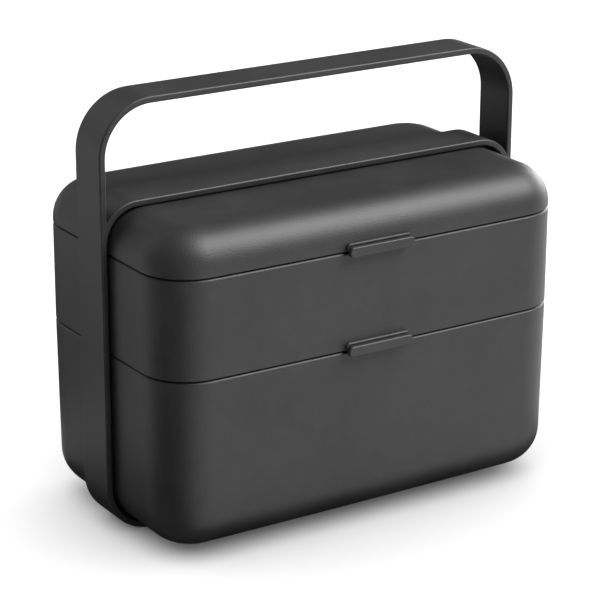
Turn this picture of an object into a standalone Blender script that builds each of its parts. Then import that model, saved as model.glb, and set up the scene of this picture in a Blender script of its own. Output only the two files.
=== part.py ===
"""Two-tier bento lunch box held together by a moulded carrying frame.

Units are metres, +Z is up and the long side lies along X. The front, where the
two latches are, faces -Y. The origin is on the ground under the middle of the box.
"""
from math import acos, asin, cos, pi, radians, sin

import bmesh
import bpy

# Driving dimensions
FRAME_WIDTH = 0.200        # across the outer faces of the carrying frame
FRAME_HEIGHT = 0.1815      # ground to the top of the handle
BAND_WIDTH = 0.0204        # width of the frame's flat band, along Y
BAND_THICK = 0.0028
FRAME_CLEARANCE = 0.0009   # between the band and the box that it slides along
LID_CLEARANCE = 0.0004     # between the crossbar and the lid
RING_TOP = 0.1406          # upper face of the crossbar over the lid
HANDLE_CORNER = 0.0234     # outer radius of the handle's corners
RING_TOP_CORNER = 0.0165   # outer radius where the crossbar turns down into the posts
RING_BASE_CORNER = 0.0205  # outer radius of the frame's lower corners
BOX_DEPTH = 0.1105         # front to back at the middle of the bowed walls
WALL_BOW = 0.0008          # how far the front and back walls bow out
PLAN_CORNER = 0.0205       # plan radius of the box's upright corners
WALL = 0.0024
LOWER_SEAM = 0.0782        # height of the joint line between the two containers
UPPER_SEAM = 0.1198        # height of the joint line under the lid
SEAM_GAP = 0.0006          # open joint line seen from outside
DRAFT = 0.0005             # taper of a container's wall from rim to foot
TOUCH = 0.0003             # gap between pieces that touch
LID_SKIRT = 0.0016         # upright edge of the lid below its rounding
LATCH_WIDTH = 0.031
LATCH_HEIGHT = 0.0044
LATCH_DROP = 0.0018        # how far a latch reaches below its joint line
LATCH_CORNER = 0.0019
HINGE_BLOCK_DEPTH = 0.0013
HINGE_BLOCK_RISE = 0.0010   # how far a hinge block reaches above its latch
HINGE_GROOVE = 0.0006      # slot between a hinge block and its latch
LATCH_THICK = 0.0018
DIVIDER_X = 0.028          # place of the loose divider in the lower container
DIVIDER_THICK = 0.0018
DIVIDER_FOOT = 0.012

# Dimensions that follow from them
FRAME_HALF = FRAME_WIDTH / 2
POST_INNER = FRAME_HALF - BAND_THICK
BOX_HALF_X = POST_INNER - FRAME_CLEARANCE
BOX_HALF_Y = BOX_DEPTH / 2 - WALL_BOW
BASE_Z = BAND_THICK + FRAME_CLEARANCE
LID_TOP = RING_TOP - BAND_THICK - LID_CLEARANCE
BASE_ROUND = RING_BASE_CORNER - BAND_THICK - FRAME_CLEARANCE
LID_ROUND = LID_TOP - UPPER_SEAM - LID_SKIRT
FRONT_Y = -BOX_DEPTH / 2

# Lap joint at each joint line, measured inwards from the outer wall and up from the line
LAP_SKIRT = 0.0010
LAP_LIP = LAP_SKIRT + TOUCH
LIP_HEIGHT = 0.0018
SEAL_HEIGHT = 0.0012
SHOULDER_HEIGHT = LIP_HEIGHT + SEAL_HEIGHT + 2 * TOUCH

CORNER_STEPS = 10
LONG_STEPS = 12
SHORT_STEPS = 2
PROFILE_STEPS = 7


def clear_scene():
    for old in list(bpy.data.objects):
        bpy.data.objects.remove(old, do_unlink=True)


def make_material(name, colour, roughness, metallic=0.0):
    material = bpy.data.materials.new(name)
    material.use_nodes = True
    shader = material.node_tree.nodes["Principled BSDF"]
    shader.inputs["Base Color"].default_value = (*colour, 1.0)
    shader.inputs["Roughness"].default_value = roughness
    shader.inputs["Metallic"].default_value = metallic
    return material


def add_object(name, bm, material):
    """Make an object of a finished bmesh, with round faces shaded smooth."""
    mesh = bpy.data.meshes.new(name)
    bm.to_mesh(mesh)
    bm.free()
    mesh.shade_smooth()
    mesh.set_sharp_from_angle(angle=radians(35))
    mesh.materials.append(material)
    item = bpy.data.objects.new(name, mesh)
    bpy.context.scene.collection.objects.link(item)
    return item


def hide_cutter(item):
    item.hide_render = True
    item.display_type = "WIRE"
    return item


def add_boolean(item, other, operation):
    step = item.modifiers.new(f"{operation.lower()} {other.name}", "BOOLEAN")
    step.operation = operation
    step.solver = "EXACT"
    step.object = hide_cutter(other)


def arc(centre_x, centre_y, radius, start, end, steps):
    """Points of an arc from one angle to another, both ends included."""
    angles = [start + (end - start) * i / steps for i in range(steps + 1)]
    return [(centre_x + radius * cos(a), centre_y + radius * sin(a)) for a in angles]


def plan_outline(inset):
    """Plan of the box, inset by a distance: round corners, bowed front and back."""
    half_x = BOX_HALF_X - inset
    half_y = BOX_HALF_Y - inset
    radius = max(PLAN_CORNER - inset, 0.002)
    cx, cy = half_x - radius, half_y - radius
    points = []
    for sx, sy, start in ((1, 1, 0), (-1, 1, pi / 2), (-1, -1, pi), (1, -1, 1.5 * pi)):
        points += arc(sx * cx, sy * cy, radius, start, start + pi / 2, CORNER_STEPS)
        runs_along_x = sx * sy > 0
        steps = LONG_STEPS if runs_along_x else SHORT_STEPS
        x0, y0 = points[-1]
        x1, y1 = (-x0, y0) if runs_along_x else (x0, -y0)
        points += [(x0 + (x1 - x0) * i / steps, y0 + (y1 - y0) * i / steps) for i in range(1, steps)]
    bow = WALL_BOW / half_y
    return [(x, y * (1 + bow * cos(pi * x / (2 * half_x)))) for x, y in points]


def add_ring(bm, outline, height):
    return [bm.verts.new((x, y, height)) for x, y in outline]


def sweep_profile(name, profile, material, closed=False):
    """Carry a profile of (inset, height) points round the box's plan.

    The profile runs up the piece's outer side, so that every face points outwards.
    An open profile is capped across at both ends; a closed one makes a ring.
    """
    bm = bmesh.new()
    rings = [add_ring(bm, plan_outline(inset), height) for inset, height in profile]
    pairs = list(zip(rings, rings[1:]))
    if closed:
        pairs.append((rings[-1], rings[0]))
    for first, second in pairs:
        for i in range(len(first)):
            bm.faces.new((first[i - 1], first[i], second[i], second[i - 1]))
    if not closed:
        bm.faces.new(rings[0][::-1])
        bm.faces.new(rings[-1])
    return add_object(name, bm, material)


def quarter(inset, height, radius, start, end):
    """Profile arc; angle 0 points outwards and pi/2 points up."""
    return [(inset - x, z) for x, z in arc(0, height, radius, start, end, PROFILE_STEPS)]


def add_prism(name, outline, y_near, y_far, material):
    """Extrude an outline in the XZ plane along Y."""
    bm = bmesh.new()
    face = bm.faces.new([bm.verts.new((x, y_near, z)) for x, z in outline])
    moved = bmesh.ops.extrude_face_region(bm, geom=[face])["geom"]
    verts = [v for v in moved if isinstance(v, bmesh.types.BMVert)]
    bmesh.ops.translate(bm, verts=verts, vec=(0, y_far - y_near, 0))
    bmesh.ops.recalc_face_normals(bm, faces=bm.faces)
    return add_object(name, bm, material)


def rounded_rectangle(half_x, z_low, z_high, low_radius, high_radius):
    """Outline in XZ with its own radius for the lower and the upper corners."""
    low_x, high_x = half_x - low_radius, half_x - high_radius
    return (arc(high_x, z_high - high_radius, high_radius, 0, pi / 2, CORNER_STEPS)
            + arc(-high_x, z_high - high_radius, high_radius, pi / 2, pi, CORNER_STEPS)
            + arc(-low_x, z_low + low_radius, low_radius, pi, 1.5 * pi, CORNER_STEPS)
            + arc(low_x, z_low + low_radius, low_radius, 1.5 * pi, 2 * pi, CORNER_STEPS))


def handle_opening():
    """Opening above the crossbar, running down to a point where the ring leaves each post."""
    top_radius = HANDLE_CORNER - BAND_THICK
    top_x = POST_INNER - top_radius
    top_z = FRAME_HEIGHT - BAND_THICK - top_radius
    ring_x, ring_z = FRAME_HALF - RING_TOP_CORNER, RING_TOP - RING_TOP_CORNER
    notch = acos((RING_TOP_CORNER - BAND_THICK) / RING_TOP_CORNER)
    return (arc(top_x, top_z, top_radius, 0, pi / 2, CORNER_STEPS)
            + arc(-top_x, top_z, top_radius, pi / 2, pi, CORNER_STEPS)
            + arc(-ring_x, ring_z, RING_TOP_CORNER, pi - notch, pi / 2, CORNER_STEPS)
            + arc(ring_x, ring_z, RING_TOP_CORNER, pi / 2, notch, CORNER_STEPS))


def make_carry_frame(material):
    """One moulding: a ring round the box's middle and the handle that rises from it."""
    half = BAND_WIDTH / 2
    outer = rounded_rectangle(FRAME_HALF, 0, FRAME_HEIGHT, RING_BASE_CORNER, HANDLE_CORNER)
    inner = rounded_rectangle(POST_INNER, BAND_THICK, RING_TOP - BAND_THICK,
                              RING_BASE_CORNER - BAND_THICK, RING_TOP_CORNER - BAND_THICK)
    frame = add_prism("carry_frame", outer, -half, half, material)
    add_boolean(frame, add_prism("ring_hole", inner, -BAND_WIDTH, BAND_WIDTH, material), "DIFFERENCE")
    add_boolean(frame, add_prism("hand_hole", handle_opening(), -BAND_WIDTH, BAND_WIDTH, material),
                "DIFFERENCE")
    return frame


def rim_profile(seam):
    """Top of a container, from the outer wall over the ledge and the lip to the inner wall."""
    ledge = seam - SEAM_GAP / 2
    return [(0, ledge), (LAP_LIP, ledge), (LAP_LIP, seam + LIP_HEIGHT), (WALL, seam + LIP_HEIGHT)]


def skirt_profile(seam):
    """Foot of the piece above, from its shoulder down the lapping skirt to the outer wall."""
    foot = seam + SEAM_GAP / 2
    return [(LAP_SKIRT, seam + SHOULDER_HEIGHT), (LAP_SKIRT, foot), (0, foot)]


def make_lower_container(material):
    floor = BASE_Z + WALL
    outer_foot = quarter(DRAFT + BASE_ROUND, BASE_Z + BASE_ROUND, BASE_ROUND, -pi / 2, 0)
    inner_round = BASE_ROUND - WALL
    inner_foot = quarter(DRAFT + BASE_ROUND, floor + inner_round, inner_round, 0, -pi / 2)
    profile = outer_foot + rim_profile(LOWER_SEAM) + inner_foot
    return sweep_profile("lower_container", profile, material)


def make_upper_container(material):
    underside = LOWER_SEAM + SHOULDER_HEIGHT
    floor = underside + WALL
    fillet = 0.006
    inner_foot = quarter(WALL + DRAFT + fillet, floor + fillet, fillet, 0, -pi / 2)
    profile = skirt_profile(LOWER_SEAM) + rim_profile(UPPER_SEAM) + inner_foot
    return sweep_profile("upper_container", profile, material)


def make_lid(material):
    round_z = LID_TOP - LID_ROUND
    inner_round = LID_ROUND - WALL
    shoulder_angle = asin((SHOULDER_HEIGHT - LID_SKIRT) / inner_round)
    inner = quarter(LID_ROUND, round_z, inner_round, pi / 2, shoulder_angle)
    outer = quarter(LID_ROUND, round_z, LID_ROUND, 0, pi / 2)
    return sweep_profile("lid", inner + skirt_profile(UPPER_SEAM) + outer, material)


def make_seal(name, seam, material):
    """Ring that the lip of the piece below presses against the shoulder of the piece above."""
    low = seam + LIP_HEIGHT + TOUCH
    high = low + SEAL_HEIGHT
    near, far = LAP_LIP, WALL
    return sweep_profile(name, [(near, low), (near, high), (far, high), (far, low)], material, closed=True)


def add_hinge_block(item, name, seam, material):
    """Raised block under a joint's upper edge, which the latch turns on."""
    top = seam + LATCH_HEIGHT - LATCH_DROP + HINGE_BLOCK_RISE
    outline = rounded_rectangle(LATCH_WIDTH / 2, seam + SEAM_GAP, top, 0.0005, LATCH_CORNER)
    block = add_prism(name, outline, FRONT_Y - HINGE_BLOCK_DEPTH, FRONT_Y + LAP_SKIRT / 2, material)
    add_boolean(item, block, "UNION")


def add_catch(item, name, seam, material):
    """Low rib below a joint line that the latch closes over."""
    outline = rounded_rectangle(LATCH_WIDTH / 2 - LATCH_CORNER, seam - LATCH_DROP, seam - SEAM_GAP,
                                0.0003, 0.0003)
    rib = add_prism(name, outline, FRONT_Y - HINGE_BLOCK_DEPTH, FRONT_Y + LAP_SKIRT / 2, material)
    add_boolean(item, rib, "UNION")


def make_latch(name, seam, material):
    """Flap with a thin hinge strip along its upper back edge; its origin is on the hinge line."""
    top = LATCH_HEIGHT - LATCH_DROP
    back = -(HINGE_BLOCK_DEPTH + HINGE_GROOVE)
    strip_height = 0.0008
    strip_low = top - strip_height - 0.0001
    hinge_y = -(HINGE_BLOCK_DEPTH + TOUCH + strip_height / 2)
    hinge_z = strip_low + strip_height / 2

    def local(outline):
        return [(x, z - hinge_z) for x, z in outline]

    plate = local(rounded_rectangle(LATCH_WIDTH / 2, -LATCH_DROP, top, LATCH_CORNER, LATCH_CORNER))
    flap = add_prism(name, plate, back - hinge_y, back - LATCH_THICK - hinge_y, material)
    strip_half = LATCH_WIDTH / 2 - 2 * LATCH_CORNER
    strip = local([(strip_half, strip_low), (strip_half, strip_low + strip_height),
                   (-strip_half, strip_low + strip_height), (-strip_half, strip_low)])
    web = add_prism(f"{name}_strip", strip, -strip_height / 2, back - LATCH_THICK / 2 - hinge_y, material)
    add_boolean(flap, web, "UNION")
    for item in (flap, web):
        item.location = (0, FRONT_Y + hinge_y, seam + hinge_z)
    return flap


def make_divider(material):
    """Loose upright plate across the lower container, on a flat foot."""
    floor = BASE_Z + WALL + TOUCH
    top = LOWER_SEAM - 0.006
    round_radius = BASE_ROUND - WALL
    half_y = BOX_HALF_Y - WALL - DRAFT - TOUCH
    outline = (arc(-(half_y - round_radius), floor + round_radius, round_radius, pi, 1.5 * pi, PROFILE_STEPS)
               + arc(half_y - round_radius, floor + round_radius, round_radius, 1.5 * pi, 2 * pi, PROFILE_STEPS)
               + arc(half_y - 0.003, top - 0.003, 0.003, 0, pi / 2, 3)
               + arc(-half_y + 0.003, top - 0.003, 0.003, pi / 2, pi, 3))
    plate = add_prism("divider", outline, -DIVIDER_THICK / 2, DIVIDER_THICK / 2, material)
    foot_half = half_y - round_radius
    foot = add_prism("divider_foot", [(foot_half, floor), (foot_half, floor + DIVIDER_THICK),
                                      (-foot_half, floor + DIVIDER_THICK), (-foot_half, floor)],
                     -DIVIDER_FOOT / 2, DIVIDER_FOOT / 2, material)
    add_boolean(plate, foot, "UNION")
    for item in (plate, foot):
        item.rotation_euler = (0, 0, pi / 2)
        item.location = (DIVIDER_X, 0, 0)
    return plate


def main():
    clear_scene()
    plastic = make_material("charcoal_plastic", (0.040, 0.040, 0.042), 0.45)
    silicone = make_material("grey_silicone", (0.12, 0.12, 0.12), 0.6)
    inlay = make_material("light_grey_plastic", (0.35, 0.35, 0.34), 0.5)

    make_carry_frame(plastic)
    lower = make_lower_container(plastic)
    upper = make_upper_container(plastic)
    lid = make_lid(plastic)
    make_seal("middle_seal", LOWER_SEAM, silicone)
    make_seal("lid_seal", UPPER_SEAM, silicone)
    for word, seam, above, below in (("lower", LOWER_SEAM, upper, lower), ("upper", UPPER_SEAM, lid, upper)):
        add_hinge_block(above, f"{word}_hinge_block", seam, plastic)
        add_catch(below, f"{word}_catch", seam, plastic)
        make_latch(f"{word}_latch", seam, plastic)
    make_divider(inlay)


main()
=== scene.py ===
"""Looks of a two-tier bento lunch box in satin charcoal plastic, with its carrying frame.

Metres, +Z up, long side along X, latches on the -Y side, origin on the floor under the middle.
"""

from math import asin, cos, pi, radians, sin

import bmesh
import bpy
from mathutils import Matrix, Vector


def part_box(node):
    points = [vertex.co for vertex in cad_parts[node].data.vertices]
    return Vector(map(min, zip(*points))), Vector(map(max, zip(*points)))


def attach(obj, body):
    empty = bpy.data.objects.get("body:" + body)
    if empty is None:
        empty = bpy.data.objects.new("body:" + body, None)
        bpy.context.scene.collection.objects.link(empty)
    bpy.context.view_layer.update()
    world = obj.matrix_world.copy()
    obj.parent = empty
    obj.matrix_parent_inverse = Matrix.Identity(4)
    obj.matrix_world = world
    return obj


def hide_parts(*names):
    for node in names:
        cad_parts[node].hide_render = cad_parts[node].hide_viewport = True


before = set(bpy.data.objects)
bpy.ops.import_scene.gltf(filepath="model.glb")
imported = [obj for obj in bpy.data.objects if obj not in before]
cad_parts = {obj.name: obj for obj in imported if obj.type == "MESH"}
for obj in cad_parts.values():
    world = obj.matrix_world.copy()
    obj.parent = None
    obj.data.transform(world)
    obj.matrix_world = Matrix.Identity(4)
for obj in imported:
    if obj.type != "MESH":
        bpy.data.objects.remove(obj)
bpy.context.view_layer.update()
scene = bpy.context.scene

# Places read from the part itself
frame_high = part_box("carry_frame")[1]
lower_low, lower_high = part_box("lower_container")
upper_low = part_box("upper_container")[0]
lid_low, lid_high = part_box("lid")
upper_latch_low, upper_latch_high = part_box("upper_latch")

SEAM_GAP = 0.0006            # open joint line seen from outside
LOWER_SEAM = upper_low.z - SEAM_GAP / 2
UPPER_SEAM = lid_low.z - SEAM_GAP / 2
LID_TOP = lid_high.z
BASE_Z = lower_low.z
BOX_HALF_X = lid_high.x
WALL_BOW = 0.0008            # how far the front and back walls bow out
BOX_HALF_Y = lid_high.y - WALL_BOW
FRONT_Y = -lid_high.y

# Box: plan corner, walls, roundings and the lap joint under each seam
PLAN_CORNER = 0.0205
WALL = 0.0024
DRAFT = 0.0005               # the lower container's walls taper in towards its foot
BASE_ROUND = 0.0168
BAY_ROUND = 0.006            # rounding between the upper container's walls and its floor
LID_SKIRT = 0.0016           # upright edge of the lid below its rounding
LID_ROUND = LID_TOP - UPPER_SEAM - LID_SKIRT
TOUCH = 0.0003
LAP_SKIRT = 0.0010
LAP_LIP = LAP_SKIRT + TOUCH
LIP_HEIGHT = lower_high.z - LOWER_SEAM
SHOULDER_HEIGHT = 0.0036
RIM_ROUND = 0.0012           # softened upper edge of a container's outer wall
SKIRT_ROUND = 0.0003         # softened lower edge of the piece above

# Carrying frame
BAND_THICK = 0.0028
RING_TOP = 0.1406            # upper face of the crossbar
HANDLE_CORNER = 0.0234
RING_TOP_CORNER = 0.0165
RING_BASE_CORNER = 0.0205
BAND_EDGE = 0.0008           # softened edges of the band
HAND_HOLE_FOOT = 0.001       # rounding of the hand hole's lower corners, lost when the ring is cut from it

# Latches and the blocks they turn on
LATCH_HALF = upper_latch_high.x
LATCH_DROP = UPPER_SEAM - upper_latch_low.z
LATCH_TOP = upper_latch_high.z - UPPER_SEAM
LATCH_FRONT_Y = upper_latch_low.y
LATCH_THICK = 0.0018
LATCH_CORNER = 0.0019
LATCH_EDGE = 0.0007
BLOCK_DEPTH = 0.0013         # how far a block stands out from the wall
BLOCK_FRONT_Y = FRONT_Y - BLOCK_DEPTH
BLOCK_RISE = 0.0010          # how far a hinge block reaches above its latch
BLOCK_EDGE = 0.0006
BLOCK_ROOT = 0.0005          # how deep a block is let into the wall
CATCH_CORNER = 0.0005
CATCH_EDGE = 0.0003
STRIP_HEIGHT = 0.0008
STRIP_INSET = 0.0001         # how far the strip stays below the latch's upper edge

# How finely round stretches are cut
PLAN_STEPS = 16
WALL_COLUMNS = 12
ROUND_STEPS = 14
EDGE_STEPS = 4
CORNER_STEPS = 20
LATCH_CORNER_STEPS = 8
BLOCK_CORNER_STEPS = 6
BLOCK_EDGE_STEPS = 3

SMOOTH_UNDER = radians(40)   # faces that meet at less than this are shaded as one
RIM_OVER = radians(45)       # edges of the band that are sharper than this are softened
FACING = 0.999               # a face looks along an axis when its normal reaches this far
TINY = 1e-6


# Modelling steps

def add_block(name, low, high):
    """Add a block between two corners, alone selected, and open it in edit mode."""
    bpy.ops.object.select_all(action="DESELECT")
    low, high = Vector(low), Vector(high)
    bpy.ops.mesh.primitive_cube_add(size=1, location=(low + high) / 2, scale=high - low)
    bpy.ops.object.transform_apply(location=True, rotation=True, scale=True)
    piece = bpy.context.object
    piece.name = name
    bpy.ops.object.mode_set(mode="EDIT")
    return piece


def close_edit():
    bpy.ops.object.mode_set(mode="OBJECT")


def select_parts(kind, passes):
    """Select just the vertices, edges or faces of the open piece that pass a test."""
    bpy.ops.mesh.select_mode(type=kind)
    bpy.ops.mesh.select_all(action="DESELECT")
    mesh = bpy.context.edit_object.data
    shape = bmesh.from_edit_mesh(mesh)
    shape.normal_update()
    for part in {"VERT": shape.verts, "EDGE": shape.edges, "FACE": shape.faces}[kind]:
        if passes(part):
            part.select_set(True)
    shape.select_flush_mode()
    bmesh.update_edit_mesh(mesh)


def edge_runs_along(axis):
    def passes(edge):
        run = edge.verts[1].co - edge.verts[0].co
        return abs(run[axis]) > run.length - TINY
    return passes


def face_looks(axis, sign):
    return lambda face: face.normal[axis] * sign > FACING


def arc(inset, height, radius, start, end, steps):
    """Points of a profile arc as (inset, height). Angle 0 is outermost and pi/2 is on top."""
    angles = [start + (end - start) * i / steps for i in range(steps + 1)]
    return [(inset - radius * cos(a), height + radius * sin(a)) for a in angles]


def trace_profile(points):
    """Carry the selected flat end of a shell through (inset, height) points, the first being where it is."""
    looks_up = selected_normal().z
    for (inset, height), (next_inset, next_height) in zip(points, points[1:]):
        rise = next_height - height
        if next_inset - inset > TINY:
            bpy.ops.mesh.inset(thickness=next_inset - inset, depth=rise * looks_up)
        else:
            bpy.ops.mesh.extrude_region_move(TRANSFORM_OT_translate={"value": (0, 0, rise)})


def selected_normal():
    """Direction that the selected face of the open piece looks in."""
    shape = bmesh.from_edit_mesh(bpy.context.edit_object.data)
    return next(face.normal.copy() for face in shape.faces if face.select)


def bow_long_walls():
    """Push the front and back walls out, most at their middle, one upright column at a time."""
    mesh = bpy.context.edit_object.data
    columns = sorted({round(v.co.x, 7) for v in bmesh.from_edit_mesh(mesh).verts})
    for column in columns:
        select_parts("VERT", lambda vert: abs(vert.co.x - column) < TINY)
        stretch = 1 + WALL_BOW / BOX_HALF_Y * cos(pi * column / (2 * BOX_HALF_X))
        bpy.ops.transform.resize(value=(1, stretch, 1), center_override=(0, 0, 0))


def make_shell(name, foot, foot_taper, under, over):
    """Open box piece: a block with the box's plan, its underside and its top each traced along a profile.

    under and over are (inset, height) points that start on the outer wall.
    """
    top = over[0][1]
    piece = add_block(name, (-BOX_HALF_X, -BOX_HALF_Y, foot), (BOX_HALF_X, BOX_HALF_Y, top))
    select_parts("EDGE", edge_runs_along(2))
    bpy.ops.mesh.bevel(offset=PLAN_CORNER, segments=PLAN_STEPS, affect="EDGES")
    straight = BOX_HALF_X - PLAN_CORNER
    for i in range(1, WALL_COLUMNS):
        bpy.ops.mesh.select_all(action="SELECT")
        place = -straight + 2 * straight * i / WALL_COLUMNS
        bpy.ops.mesh.bisect(plane_co=(place, 0, 0), plane_no=(1, 0, 0))
    bow_long_walls()
    select_parts("FACE", face_looks(2, -1))
    if foot_taper:
        bpy.ops.transform.resize(value=(1 - foot_taper / BOX_HALF_X, 1 - foot_taper / BOX_HALF_Y, 1),
                                 center_override=(0, 0, 0))
    trace_profile(under)
    select_parts("FACE", lambda face: face.normal.z > FACING and face.calc_center_median().z > top - TINY)
    trace_profile(over)
    close_edit()
    return piece


def apply_step(piece, kind, **settings):
    """Add a modifier to a piece and apply it."""
    step = piece.modifiers.new(kind.lower(), kind)
    for name, value in settings.items():
        setattr(step, name, value)
    bpy.ops.object.select_all(action="DESELECT")
    bpy.context.view_layer.objects.active = piece
    piece.select_set(True)
    bpy.ops.object.modifier_apply(modifier=step.name)


def combine(piece, other, operation):
    """Join another block to a piece, or cut it away, and drop the block."""
    apply_step(piece, "BOOLEAN", operation=operation, solver="EXACT", object=other)
    bpy.data.objects.remove(other, do_unlink=True)


def shade(piece):
    """Smooth shading on round stretches, with flat faces kept flat beside their softened edges."""
    bpy.ops.object.select_all(action="DESELECT")
    bpy.context.view_layer.objects.active = piece
    piece.select_set(True)
    bpy.ops.object.shade_smooth_by_angle(angle=SMOOTH_UNDER)
    apply_step(piece, "WEIGHTED_NORMAL", mode="FACE_AREA", weight=50, keep_sharp=True)


def place_piece(piece, node, body, finish):
    """Give a finished piece its finish, and let it stand for a node of the part."""
    piece.data.materials.clear()
    piece.data.materials.append(finish)
    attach(piece, body)
    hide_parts(node)


# Pieces of the box

def rim_profile(seam):
    """Over a container's rim: softened edge, ledge, standing lip, and down to the inner wall."""
    ledge = seam - SEAM_GAP / 2
    edge = arc(RIM_ROUND, ledge - RIM_ROUND, RIM_ROUND, 0, pi / 2, EDGE_STEPS)
    return edge + [(LAP_LIP, ledge), (LAP_LIP, seam + LIP_HEIGHT), (WALL, seam + LIP_HEIGHT)]


def skirt_profile(seam):
    """Under the piece above: softened edge, foot of the skirt, and up its inside to the shoulder."""
    foot = seam + SEAM_GAP / 2
    edge = arc(SKIRT_ROUND, foot + SKIRT_ROUND, SKIRT_ROUND, 0, -pi / 2, EDGE_STEPS)
    return edge + [(LAP_SKIRT, foot), (LAP_SKIRT, seam + SHOULDER_HEIGHT)]


def add_latch_block(piece, low_z, high_z, half_x, corner, edge_round):
    """Small raised block on the front wall, with round ends and a softened front edge."""
    block = add_block("latch_block", (-half_x, BLOCK_FRONT_Y, low_z),
                      (half_x, FRONT_Y + BLOCK_ROOT, high_z))
    select_parts("EDGE", lambda edge: edge_runs_along(1)(edge) and edge.verts[0].co.z > high_z - TINY)
    bpy.ops.mesh.bevel(offset=corner, segments=BLOCK_CORNER_STEPS, affect="EDGES")
    select_parts("FACE", face_looks(1, -1))
    bpy.ops.mesh.select_mode(type="EDGE")
    bpy.ops.mesh.region_to_loop()
    bpy.ops.mesh.bevel(offset=edge_round, segments=BLOCK_EDGE_STEPS, affect="EDGES")
    close_edit()
    combine(piece, block, "UNION")


def add_hinge_block(piece, seam):
    """Block above a joint line, which a latch turns on."""
    add_latch_block(piece, seam + SEAM_GAP, seam + LATCH_TOP + BLOCK_RISE, LATCH_HALF, LATCH_CORNER,
                    BLOCK_EDGE)


def add_catch(piece, seam):
    """Rib below a joint line, which a latch closes over."""
    add_latch_block(piece, seam - LATCH_DROP, seam - SEAM_GAP, LATCH_HALF - LATCH_CORNER, CATCH_CORNER,
                    CATCH_EDGE)


def make_lower_container():
    floor = BASE_Z + WALL
    inner_round = BASE_ROUND - WALL
    under = arc(DRAFT + BASE_ROUND, BASE_Z + BASE_ROUND, BASE_ROUND, 0, -pi / 2, ROUND_STEPS)
    over = rim_profile(LOWER_SEAM) + arc(DRAFT + BASE_ROUND, floor + inner_round, inner_round,
                                         0, -pi / 2, ROUND_STEPS)
    piece = make_shell("lower_container_shell", under[0][1], DRAFT, under, over)
    add_catch(piece, LOWER_SEAM)
    return piece


def make_upper_container():
    floor = LOWER_SEAM + SHOULDER_HEIGHT + WALL
    under = skirt_profile(LOWER_SEAM)
    over = rim_profile(UPPER_SEAM) + arc(WALL + DRAFT + BAY_ROUND, floor + BAY_ROUND, BAY_ROUND,
                                         0, -pi / 2, ROUND_STEPS // 2)
    piece = make_shell("upper_container_shell", under[0][1], 0, under, over)
    add_hinge_block(piece, LOWER_SEAM)
    add_catch(piece, UPPER_SEAM)
    return piece


def make_lid():
    round_z = LID_TOP - LID_ROUND
    inner_round = LID_ROUND - WALL
    shoulder_angle = asin((SHOULDER_HEIGHT - LID_SKIRT) / inner_round)
    under = skirt_profile(UPPER_SEAM) + arc(LID_ROUND, round_z, inner_round, shoulder_angle, pi / 2,
                                            ROUND_STEPS)
    over = arc(LID_ROUND, round_z, LID_ROUND, 0, pi / 2, ROUND_STEPS)
    piece = make_shell("lid_shell", under[0][1], 0, under, over)
    add_hinge_block(piece, UPPER_SEAM)
    return piece


# Carrying frame

def add_slab(name, half_x, low_z, high_z, low_corner, high_corner, half_y):
    """Block across the box with its own radius for the two lower and the two upper corners."""
    slab = add_block(name, (-half_x, -half_y, low_z), (half_x, half_y, high_z))
    middle = (low_z + high_z) / 2
    for corner, side in ((low_corner, -1), (high_corner, 1)):
        select_parts("EDGE", lambda edge: edge_runs_along(1)(edge)
                     and (edge.verts[0].co.z - middle) * side > (high_z - low_z) / 2 - TINY)
        bpy.ops.mesh.bevel(offset=corner, segments=CORNER_STEPS, affect="EDGES")
    close_edit()
    return slab


def make_carry_frame():
    """One slab with two holes: the box's, and the hand's, which runs down to a point at each post."""
    half_x, half_y = frame_high.x, frame_high.y
    inner_x = half_x - BAND_THICK
    through = 2 * half_y
    top = frame_high.z
    band = add_slab("carry_frame_band", half_x, 0, top, RING_BASE_CORNER, HANDLE_CORNER, half_y)
    hand_hole = add_slab("hand_hole", inner_x, RING_TOP / 2, top - BAND_THICK, HAND_HOLE_FOOT,
                         HANDLE_CORNER - BAND_THICK, through)
    ring = add_slab("ring", half_x, 0, RING_TOP, RING_BASE_CORNER, RING_TOP_CORNER, 2 * through)
    combine(hand_hole, ring, "DIFFERENCE")
    combine(band, hand_hole, "DIFFERENCE")
    box_hole = add_slab("box_hole", inner_x, BAND_THICK, RING_TOP - BAND_THICK,
                        RING_BASE_CORNER - BAND_THICK, RING_TOP_CORNER - BAND_THICK, through)
    combine(band, box_hole, "DIFFERENCE")
    soften_rims(band, half_y)
    return band


def soften_rims(piece, half_y):
    """Round the sharp edges that bound the band's front and back strips."""
    bpy.context.view_layer.objects.active = piece
    bpy.ops.object.mode_set(mode="EDIT")
    bpy.ops.mesh.select_all(action="SELECT")
    bpy.ops.mesh.remove_doubles(threshold=TINY)
    select_parts("EDGE", lambda edge: all(abs(v.co.y) > half_y - TINY for v in edge.verts)
                 and edge.calc_face_angle(0) > RIM_OVER)
    bpy.ops.mesh.bevel(offset=BAND_EDGE, segments=EDGE_STEPS, affect="EDGES")
    close_edit()


# Latches

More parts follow.
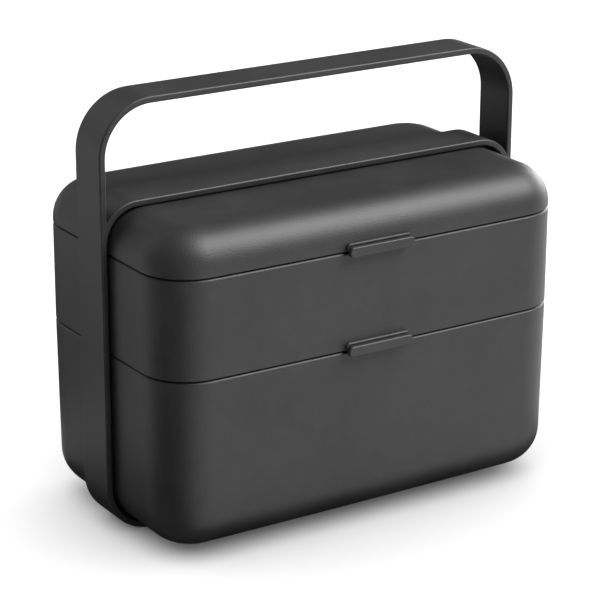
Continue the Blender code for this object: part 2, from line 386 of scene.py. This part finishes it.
def make_latch(name, seam):
    """Rounded flap with the thin strip that it bends on at the back of its upper edge."""
    back_y = LATCH_FRONT_Y + LATCH_THICK
    low_z, high_z = seam - LATCH_DROP, seam + LATCH_TOP
    piece = add_block(name, (-LATCH_HALF, LATCH_FRONT_Y, low_z), (LATCH_HALF, back_y, high_z))
    select_parts("EDGE", edge_runs_along(1))
    bpy.ops.mesh.bevel(offset=LATCH_CORNER, segments=LATCH_CORNER_STEPS, affect="EDGES")
    strip_high = high_z - STRIP_INSET
    strip_half = LATCH_HALF - 2 * LATCH_CORNER
    cuts = [((0, 0, 1), (0, 0, strip_high)), ((0, 0, 1), (0, 0, strip_high - STRIP_HEIGHT)),
            ((1, 0, 0), (strip_half, 0, 0)), ((1, 0, 0), (-strip_half, 0, 0))]
    select_parts("FACE", face_looks(1, 1))
    for direction, point in cuts:
        bpy.ops.mesh.bisect(plane_co=point, plane_no=direction)
        select_parts("FACE", face_looks(1, 1))
    strip_middle = Vector((0, back_y, strip_high - STRIP_HEIGHT / 2))
    select_parts("FACE", lambda face: face.normal.y > FACING
                 and (face.calc_center_median() - strip_middle).length < STRIP_HEIGHT / 2)
    bpy.ops.mesh.extrude_region_move(TRANSFORM_OT_translate={"value": (0, upper_latch_high.y - back_y, 0)})
    select_parts("FACE", face_looks(1, -1))
    bpy.ops.mesh.select_mode(type="EDGE")
    bpy.ops.mesh.region_to_loop()
    bpy.ops.mesh.bevel(offset=LATCH_EDGE, segments=EDGE_STEPS, affect="EDGES")
    bpy.ops.mesh.select_all(action="SELECT")
    bpy.ops.mesh.dissolve_degenerate(threshold=TINY)
    close_edit()
    return piece


# Finishes

class Value:
    """A socket used in plain sums and products; each one adds its Math node."""

    def __init__(self, finish, socket):
        self.finish = finish
        self.socket = socket

    def _sum(self, operation, first, second):
        return self.finish.node("ShaderNodeMath", {"operation": operation}, {0: first, 1: second})

    def __add__(self, other):
        return self._sum("ADD", self, other)

    def __radd__(self, other):
        return self._sum("ADD", other, self)

    def __mul__(self, other):
        return self._sum("MULTIPLY", self, other)

    def __rmul__(self, other):
        return self._sum("MULTIPLY", other, self)


class Finish:
    """A material, with its nodes added round its own Principled shader."""

    def __init__(self, name):
        self.material = bpy.data.materials.new(name)
        self.material.use_nodes = True
        self.tree = self.material.node_tree
        self.shader = self.tree.nodes["Principled BSDF"]
        self.place = self.node("ShaderNodeTexCoord", output="Object")

    def node(self, kind, settings=None, inputs=None, output=0):
        """Add a node with its settings made first, then its inputs as values or links."""
        added = self.tree.nodes.new(kind)
        for name, value in (settings or {}).items():
            setattr(added, name, value)
        for name, value in (inputs or {}).items():
            self.feed(added.inputs[name], value)
        return Value(self, added.outputs[output])

    def feed(self, socket, value):
        if isinstance(value, Value):
            self.tree.links.new(value.socket, socket)
        else:
            socket.default_value = value

    def noise(self, size, detail=2.0, roughness=0.5):
        """Noise from 0 to 1 whose patches are about size metres across."""
        return self.node("ShaderNodeTexNoise", {"noise_dimensions": "3D"},
                         {"Vector": self.place, "Scale": 1 / size, "Detail": detail, "Roughness": roughness})

    def spread(self, value, low, high):
        """Stretch the middle of a noise to the whole range from low to high."""
        return self.node("ShaderNodeMapRange", {"interpolation_type": "SMOOTHSTEP"},
                         {"Value": value, "From Min": 0.3, "From Max": 0.7, "To Min": low, "To Max": high})

    def blend(self, factor, first, second):
        return self.node("ShaderNodeMix", {"data_type": "RGBA"},
                         {0: factor, 6: (*first, 1), 7: (*second, 1)}, output=2)

    def set(self, **values):
        for name, value in values.items():
            self.feed(self.shader.inputs[name.replace("_", " ")], value)

    def bump(self, height, distance):
        self.set(Normal=self.node("ShaderNodeBump", {}, {"Height": height, "Distance": distance,
                                                         "Strength": 1.0}))


def charcoal_plastic():
    """Satin moulded plastic: a very fine spark-eroded grain and slow, faint changes of tone and gloss."""
    finish = Finish("charcoal_plastic")
    flow = finish.noise(0.05, detail=3)
    cloud = finish.noise(0.009, detail=4, roughness=0.6)
    grain = finish.noise(0.0006, detail=2, roughness=0.65)
    tone = finish.spread(0.5 * flow + 0.4 * cloud + 0.1 * grain, 0, 1)
    finish.set(Base_Color=finish.blend(tone, (0.0125, 0.0125, 0.0129), (0.0220, 0.0219, 0.0223)),
               Roughness=0.41 + 0.07 * flow + 0.06 * cloud + 0.04 * grain,
               Specular_IOR_Level=0.5)
    finish.bump(grain + 0.35 * cloud, 0.0001)
    return finish.material


def grey_silicone():
    """Soft seal: even, dull, with a faint bloom."""
    finish = Finish("grey_silicone")
    bloom = finish.spread(finish.noise(0.004, detail=4), 0, 1)
    fine = finish.noise(0.0006)
    finish.set(Base_Color=finish.blend(bloom, (0.105, 0.105, 0.104), (0.135, 0.135, 0.133)),
               Roughness=0.60 + 0.10 * fine, Specular_IOR_Level=0.4)
    finish.bump(fine, 0.00003)
    return finish.material


def light_grey_plastic():
    """Loose divider: pale moulded plastic with a fine grain."""
    finish = Finish("light_grey_plastic")
    flow = finish.spread(finish.noise(0.02, detail=3), 0, 1)
    grain = finish.noise(0.0005, detail=2)
    finish.set(Base_Color=finish.blend(flow, (0.335, 0.335, 0.325), (0.365, 0.365, 0.355)),
               Roughness=0.45 + 0.08 * grain)
    finish.bump(grain, 0.00002)
    return finish.material


def pale_floor():
    """Matt, almost white tabletop."""
    finish = Finish("pale_floor")
    cloud = finish.spread(finish.noise(0.3, detail=2), 0, 1)
    finish.set(Base_Color=finish.blend(cloud, (0.90, 0.90, 0.90), (0.91, 0.91, 0.91)), Roughness=1.0,
               Specular_IOR_Level=0.0)
    return finish.material


# Floor, light and camera

CAMERA_AIM = Vector((-0.0035, -0.0031, 0.0823))
CAMERA_DISTANCE = 1.0
CAMERA_AZIMUTH = -32.6
CAMERA_ELEVATION = 19.3
CAMERA_ROLL = 0.19
CAMERA_LENS = 143.4
CAMERA_SENSOR = 36
FLOOR_SIZE = 12.0
SKY_FOR_LIGHT = 0.11

# Sheets seen by the plastic's reflections alone, each a little above the one before: they paint dark and
# shaded floor into its reflections
# Shade of the painted dark reflections
BLACK = 0.01
# Grey card on the left: the floor in the box's shadow, painted into the reflections of the left walls
GREY_CARD = 0.52
GREY_CARD_HEIGHT = 0.0003
GREY_CARD_FRONT = -0.1       # where the grey card starts, along Y
GREY_CARD_TUCK = 0.01        # how far it reaches in under the box
BLACK_CARD_HEIGHT = 0.0006
BLACK_CARD_AZIMUTH = 69      # towards the left of the front
BLACK_CARD_TUCK = 0.9        # its corner lies at this share of the way to the box's corner
CARD_SIZE = 1.5
# Black sheet round the foot: painted shade close under the box, seen in the reflections of its lower edges
FOOT_SHADE_HEIGHT = 0.0009
FOOT_SHADE_FRONT = 0.009
FOOT_SHADE_SIDES = 0.045
# Dark card behind the box: a painted dark reflection on the frame's inner faces and the left walls
BACK_CARD = 0.03
BACK_CARD_HEIGHT = 0.0012
BACK_CARD_LOW = (-0.21, 0.12)
BACK_CARD_HIGH = (0.30, 0.90)

# Far lights: azimuth, elevation and width in degrees, then strength
KEY_LIGHT = (51, 49, 40, 5.5)
BACK_FILL_LIGHT = (-150, 32, 60, 0.55)
RIGHT_RIM_LIGHT = (112, 4, 34, 3.0)
FLOOR_LIGHT = (45, 68, 160, 4.6)
LAMP_DISTANCE = 2.0


def away(azimuth, elevation, distance):
    """Point at a distance; azimuth 0 is in front, towards -Y, and 90 is to the right."""
    turn, lift = radians(azimuth), radians(elevation)
    return distance * Vector((sin(turn) * cos(lift), -cos(turn) * cos(lift), sin(lift)))


def add_camera():
    camera = bpy.data.objects.new("camera", bpy.data.cameras.new("camera"))
    scene.collection.objects.link(camera)
    camera.data.lens = CAMERA_LENS
    camera.data.sensor_width = CAMERA_SENSOR
    turned = (Matrix.Rotation(radians(CAMERA_AZIMUTH), 4, "Z")
              @ Matrix.Rotation(radians(90 - CAMERA_ELEVATION), 4, "X")
              @ Matrix.Rotation(radians(CAMERA_ROLL), 4, "Z"))
    turned.translation = CAMERA_AIM + away(CAMERA_AZIMUTH, CAMERA_ELEVATION, CAMERA_DISTANCE)
    camera.matrix_world = turned
    scene.camera = camera


def add_soft_light(name, azimuth, elevation, spread, strength):
    """Far, even light that seems spread degrees wide from the box."""
    light = bpy.data.lights.new(name, "SUN")
    light.angle = radians(spread)
    light.energy = strength
    lamp = bpy.data.objects.new(name, light)
    scene.collection.objects.link(lamp)
    lamp.location = away(azimuth, elevation, LAMP_DISTANCE)
    lamp.rotation_euler = lamp.location.to_track_quat("Z", "Y").to_euler()
    return lamp


def choose_lit(lamp, things, state):
    """Light only these things, or everything but them."""
    group = bpy.data.collections.new(f"{lamp.name} light")
    for thing in things:
        group.objects.link(thing)
    lamp.light_linking.receiver_collection = group
    for entry in group.collection_objects:
        entry.light_linking.link_state = state


def add_card(name, low, high, height, shade_of_grey):
    """Sheet flat over the floor between two corners, seen by the plastic's reflections alone, where it
    paints a flat shade into them.
    """
    bpy.ops.object.select_all(action="DESELECT")
    bpy.ops.mesh.primitive_plane_add(size=1)
    card = bpy.context.object
    card.name = name
    card.scale = (high[0] - low[0], high[1] - low[1], 1)
    card.location = ((low[0] + high[0]) / 2, (low[1] + high[1]) / 2, height)
    card.visible_camera = card.visible_diffuse = card.visible_shadow = card.visible_transmission = False
    finish = Finish(name)
    finish.set(Base_Color=(shade_of_grey, shade_of_grey, shade_of_grey, 1), Roughness=1.0,
               Specular_IOR_Level=0.0)
    card.data.materials.append(finish.material)
    return card


def add_cards():
    """Painted dark reflections: black card beyond the front left corner, grey card on the left for the floor
    in the box's shadow, black sheet round the foot for the shade close under it, dark card behind.
    """
    # Black card beyond the front left corner: a painted dark reflection on the box's front left corner
    black = add_card("dark_reflection_card", (0, 0), (CARD_SIZE, CARD_SIZE), BLACK_CARD_HEIGHT, BLACK)
    black.rotation_euler.z = radians(45 - BLACK_CARD_AZIMUTH)
    corner = Vector((-BOX_HALF_X, -BOX_HALF_Y, 0)) * BLACK_CARD_TUCK
    black.location = (corner + away(-BLACK_CARD_AZIMUTH, 0, CARD_SIZE / 2 ** 0.5)
                      + Vector((0, 0, BLACK_CARD_HEIGHT)))
    # Grey card: painted reflection of the floor in the box's shadow
    grey = add_card("floor_shadow_reflection_card", (-CARD_SIZE, GREY_CARD_FRONT), (-BOX_HALF_X + GREY_CARD_TUCK, CARD_SIZE),
                    GREY_CARD_HEIGHT, GREY_CARD)
    # Black sheet round the foot: painted shade under the box, in reflections only
    foot_shade_x, foot_shade_y = BOX_HALF_X + FOOT_SHADE_SIDES, BOX_HALF_Y + FOOT_SHADE_FRONT
    foot_shade = add_card("foot_shade_reflection_sheet", (-foot_shade_x, -foot_shade_y), (foot_shade_x, foot_shade_y), FOOT_SHADE_HEIGHT, BLACK)
    # Dark card behind: painted dark reflection
    back = add_card("back_dark_reflection_card", BACK_CARD_LOW, BACK_CARD_HIGH, BACK_CARD_HEIGHT, BACK_CARD)
    return black, grey, foot_shade, back


def add_floor():
    bpy.ops.object.select_all(action="DESELECT")
    bpy.ops.mesh.primitive_plane_add(size=FLOOR_SIZE)
    floor = bpy.context.object
    floor.name = "floor"
    floor.data.materials.append(pale_floor())
    return floor


def add_sky():
    """White behind everything, and a dimmer, even light on the object."""
    sky = bpy.data.worlds.new("studio")
    scene.world = sky
    sky.use_nodes = True
    nodes, links = sky.node_tree.nodes, sky.node_tree.links
    surface = nodes["Background"]
    path = nodes.new("ShaderNodeLightPath")
    level = nodes.new("ShaderNodeMapRange")
    level.inputs["To Min"].default_value = SKY_FOR_LIGHT
    level.inputs["To Max"].default_value = 1.0
    links.new(path.outputs["Is Camera Ray"], level.inputs["Value"])
    links.new(level.outputs["Result"], surface.inputs["Strength"])
    surface.inputs["Color"].default_value = (1, 1, 1, 1)


def light_scene():
    """Floor and cards have a light of their own, so that the box's lights leave them alone."""
    scene.view_settings.view_transform = "Standard"
    floor = add_floor()
    add_sky()
    table = [floor, *add_cards()]
    choose_lit(add_soft_light("key", *KEY_LIGHT), table, "EXCLUDE")
    choose_lit(add_soft_light("back_fill", *BACK_FILL_LIGHT), table, "EXCLUDE")
    choose_lit(add_soft_light("right_rim", *RIGHT_RIM_LIGHT), table, "EXCLUDE")
    choose_lit(add_soft_light("dome", *FLOOR_LIGHT), table, "INCLUDE")
    add_camera()


plastic = charcoal_plastic()
for make, node, body in ((make_lower_container, "lower_container", "box"),
                         (make_upper_container, "upper_container", "box"),
                         (make_lid, "lid", "box"),
                         (make_carry_frame, "carry_frame", "carry_frame"),
                         (lambda: make_latch("upper_latch_flap", UPPER_SEAM), "upper_latch", "upper_latch"),
                         (lambda: make_latch("lower_latch_flap", LOWER_SEAM), "lower_latch", "lower_latch")):
    shell = make()
    shade(shell)
    place_piece(shell, node, body, plastic)

silicone = grey_silicone()
for node, finish in (("middle_seal", silicone), ("lid_seal", silicone), ("divider", light_grey_plastic())):
    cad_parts[node].material_slots[0].material = finish

light_scene()
